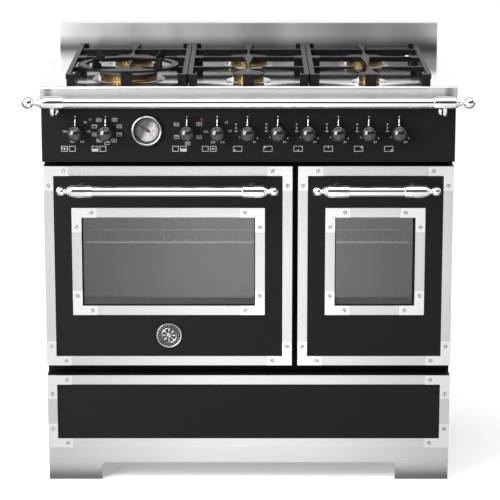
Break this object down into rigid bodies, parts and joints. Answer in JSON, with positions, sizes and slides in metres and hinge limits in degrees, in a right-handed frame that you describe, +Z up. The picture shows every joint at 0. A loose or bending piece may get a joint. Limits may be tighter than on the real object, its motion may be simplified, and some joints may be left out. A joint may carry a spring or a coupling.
{
  "type": "range cooker",
  "caption": "Free-standing range cooker: a gas hob with cast pan supports over a wide and a narrow oven with drop-down doors, a storage drawer, a towel rail and a control panel with ball knobs.",
  "frame": {"origin": "on the floor, below the middle of the whole cooker's bounding box", "axes": "+Z up, front faces -Y, +X to the right as seen from the front"},
  "size_m": [0.968, 0.6652, 0.961],
  "materials": {
    "black_enamel": "gloss",
    "cavity_enamel": "gloss",
    "stainless_steel": "satin",
    "zinc_steel": "satin",
    "chrome_plate": "polished",
    "heater_steel": "matte",
    "spindle_steel": "satin",
    "black_feet": "matte",
    "seal_rubber": "matte",
    "brass": "satin",
    "cast_black": "matte",
    "spark_ceramic": "gloss",
    "red_lens": "gloss",
    "control_body": "matte",
    "window_glass": "gloss",
    "dark_knob": "polished",
    "needle_red": "satin"
  },
  "bodies": {
    "cooker": {"side_panels": "black_enamel", "rear_cover": "zinc_steel", "base_frame": "zinc_steel", "plinth": "black_enamel", "levelling_feet": "black_feet", "front_frame": "black_enamel", "oven_cavity_left": "cavity_enamel", "oven_cavity_right": "cavity_enamel", "door_seals": "seal_rubber", "rack_guides": "chrome_plate", "heating_elements": "heater_steel", "worktop": "stainless_steel", "backguard": "stainless_steel", "control_panel": "black_enamel", "towel_rail": "chrome_plate", "gauge_case": "chrome_plate", "gas_manifold": "brass", "burner_crowns": "brass", "burner_caps": "cast_black", "spark_plugs": "spark_ceramic", "indicator_lamps": "red_lens", "oven_electrics": "control_body"},
    "door_left": {"door_left_panel": "black_enamel", "door_left_trim": "stainless_steel", "door_left_glass": "window_glass", "door_left_liner": "zinc_steel", "door_left_handle": "chrome_plate"},
    "door_right": {"door_right_panel": "black_enamel", "door_right_trim": "stainless_steel", "door_right_glass": "window_glass", "door_right_liner": "zinc_steel", "door_right_handle": "chrome_plate"},
    "drawer": {"drawer_front": "black_enamel", "drawer_trim": "stainless_steel", "drawer_box": "zinc_steel"},
    "runner_middle": {"runner_middle": "zinc_steel"},
    "rack_left": {"rack_left": "chrome_plate"},
    "rack_right": {"rack_right": "chrome_plate"},
    "gauge_needle": {"gauge_needle": "needle_red"},
    "fan": {"fan": "heater_steel"},
    "knob_left_oven_heat": {"knob_left_oven_heat": "dark_knob"},
    "knob_left_oven_function": {"knob_left_oven_function": "dark_knob"},
    "knob_right_oven_function": {"knob_right_oven_function": "dark_knob"},
    "knob_right_oven_heat": {"knob_right_oven_heat": "dark_knob"},
    "spindle_front_left": {"spindle_front_left": "spindle_steel"},
    "knob_front_left": {"knob_front_left": "dark_knob"},
    "spindle_rear_left": {"spindle_rear_left": "spindle_steel"},
    "knob_rear_left": {"knob_rear_left": "dark_knob"},
    "spindle_front_middle": {"spindle_front_middle": "spindle_steel"},
    "knob_front_middle": {"knob_front_middle": "dark_knob"},
    "spindle_rear_middle": {"spindle_rear_middle": "spindle_steel"},
    "knob_rear_middle": {"knob_rear_middle": "dark_knob"},
    "spindle_rear_right": {"spindle_rear_right": "spindle_steel"},
    "knob_rear_right": {"knob_rear_right": "dark_knob"},
    "spindle_front_right": {"spindle_front_right": "spindle_steel"},
    "knob_front_right": {"knob_front_right": "dark_knob"},
    "grate_left": {"grate_left": "cast_black"},
    "grate_middle": {"grate_middle": "cast_black"},
    "grate_right": {"grate_right": "cast_black"},
    "wok_ring": {"wok_ring": "cast_black"}
  },
  "joints": [
    {"name": "door_left_hinge", "type": "hinge", "parent": "cooker", "child": "door_left", "pos_m": [-0.1755, -0.2235, 0.2837], "axis": [1, 0, 0], "range_deg": [0, 90], "stiffness_Nm_per_rad": 11, "springref_deg": -14.32},
    {"name": "door_right_hinge", "type": "hinge", "parent": "cooker", "child": "door_right", "pos_m": [0.2775, -0.2235, 0.2837], "axis": [1, 0, 0], "range_deg": [0, 90], "stiffness_Nm_per_rad": 7, "springref_deg": -14.32},
    {"name": "drawer_slide", "type": "slide", "parent": "cooker", "child": "drawer", "axis": [0, 1, 0], "range_m": [-0.4, 0]},
    {"name": "runner_middle_slide", "type": "slide", "parent": "cooker", "child": "runner_middle", "axis": [0, 1, 0], "range_m": [-0.2, 0]},
    {"name": "rack_left_slide", "type": "slide", "parent": "cooker", "child": "rack_left", "axis": [0, -1, 0], "range_m": [0, 0.28]},
    {"name": "rack_right_slide", "type": "slide", "parent": "cooker", "child": "rack_right", "axis": [0, -1, 0], "range_m": [0, 0.28]},
    {"name": "gauge_needle_turn", "type": "hinge", "parent": "cooker", "child": "gauge_needle", "pos_m": [-0.22, -0.2625, 0.803], "axis": [0, 1, 0], "range_deg": [-76, 194], "stiffness_Nm_per_rad": 0.001},
    {"name": "fan_spin", "type": "hinge", "parent": "cooker", "child": "fan", "pos_m": [-0.1755, 0.2345, 0.5025], "axis": [0, 1, 0], "continuous": true},
    {"name": "knob_left_oven_heat_turn", "type": "hinge", "parent": "cooker", "child": "knob_left_oven_heat", "pos_m": [-0.3745, -0.2685, 0.8], "axis": [0, 1, 0], "range_deg": [0, 290]},
    {"name": "knob_left_oven_function_turn", "type": "hinge", "parent": "cooker", "child": "knob_left_oven_function", "pos_m": [-0.309, -0.2685, 0.8], "axis": [0, 1, 0], "range_deg": [0, 324]},
    {"name": "knob_right_oven_function_turn", "type": "hinge", "parent": "cooker", "child": "knob_right_oven_function", "pos_m": [-0.133, -0.2685, 0.8], "axis": [0, 1, 0], "range_deg": [0, 300]},
    {"name": "knob_right_oven_heat_turn", "type": "hinge", "parent": "cooker", "child": "knob_right_oven_heat", "pos_m": [-0.0675, -0.2685, 0.8], "axis": [0, 1, 0], "range_deg": [0, 290]},
    {"name": "knob_front_left_turn", "type": "hinge", "parent": "cooker", "child": "spindle_front_left", "pos_m": [-0.002, -0.2685, 0.8], "axis": [0, -1, 0], "range_deg": [0, 210]},
    {"name": "knob_front_left_push", "type": "slide", "parent": "spindle_front_left", "child": "knob_front_left", "axis": [0, 1, 0], "range_m": [0, 0.003], "stiffness_N_per_m": 500, "springref_m": -0.002},
    {"name": "knob_rear_left_turn", "type": "hinge", "parent": "cooker", "child": "spindle_rear_left", "pos_m": [0.0635, -0.2685, 0.8], "axis": [0, -1, 0], "range_deg": [0, 210]},
    {"name": "knob_rear_left_push", "type": "slide", "parent": "spindle_rear_left", "child": "knob_rear_left", "axis": [0, 1, 0], "range_m": [0, 0.003], "stiffness_N_per_m": 500, "springref_m": -0.002},
    {"name": "knob_front_middle_turn", "type": "hinge", "parent": "cooker", "child": "spindle_front_middle", "pos_m": [0.129, -0.2685, 0.8], "axis": [0, -1, 0], "range_deg": [0, 210]},
    {"name": "knob_front_middle_push", "type": "slide", "parent": "spindle_front_middle", "child": "knob_front_middle", "axis": [0, 1, 0], "range_m": [0, 0.003], "stiffness_N_per_m": 500, "springref_m": -0.002},
    {"name": "knob_rear_middle_turn", "type": "hinge", "parent": "cooker", "child": "spindle_rear_middle", "pos_m": [0.1945, -0.2685, 0.8], "axis": [0, -1, 0], "range_deg": [0, 210]},
    {"name": "knob_rear_middle_push", "type": "slide", "parent": "spindle_rear_middle", "child": "knob_rear_middle", "axis": [0, 1, 0], "range_m": [0, 0.003], "stiffness_N_per_m": 500, "springref_m": -0.002},
    {"name": "knob_rear_right_turn", "type": "hinge", "parent": "cooker", "child": "spindle_rear_right", "pos_m": [0.26, -0.2685, 0.8], "axis": [0, -1, 0], "range_deg": [0, 210]},
    {"name": "knob_rear_right_push", "type": "slide", "parent": "spindle_rear_right", "child": "knob_rear_right", "axis": [0, 1, 0], "range_m": [0, 0.003], "stiffness_N_per_m": 500, "springref_m": -0.002},
    {"name": "knob_front_right_turn", "type": "hinge", "parent": "cooker", "child": "spindle_front_right", "pos_m": [0.3255, -0.2685, 0.8], "axis": [0, -1, 0], "range_deg": [0, 210]},
    {"name": "knob_front_right_push", "type": "slide", "parent": "spindle_front_right", "child": "knob_front_right", "axis": [0, 1, 0], "range_m": [0, 0.003], "stiffness_N_per_m": 500, "springref_m": -0.002},
    {"name": "grate_left_lift", "type": "slide", "parent": "cooker", "child": "grate_left", "axis": [0, 0, 1], "range_m": [0, 0.15]},
    {"name": "grate_middle_lift", "type": "slide", "parent": "cooker", "child": "grate_middle", "axis": [0, 0, 1], "range_m": [0, 0.15]},
    {"name": "grate_right_lift", "type": "slide", "parent": "cooker", "child": "grate_right", "axis": [0, 0, 1], "range_m": [0, 0.15]},
    {"name": "wok_ring_lift", "type": "slide", "parent": "grate_left", "child": "wok_ring", "axis": [0, 0, 1], "range_m": [0, 0.1]}
  ],
  "couplings": [
    {"joint": "rack_left_slide", "follows": "door_left_hinge", "m_per_rad": 0.178},
    {"joint": "rack_right_slide", "follows": "door_right_hinge", "m_per_rad": 0.178},
    {"joint": "runner_middle_slide", "follows": "drawer_slide", "ratio": 0.5}
  ]
}
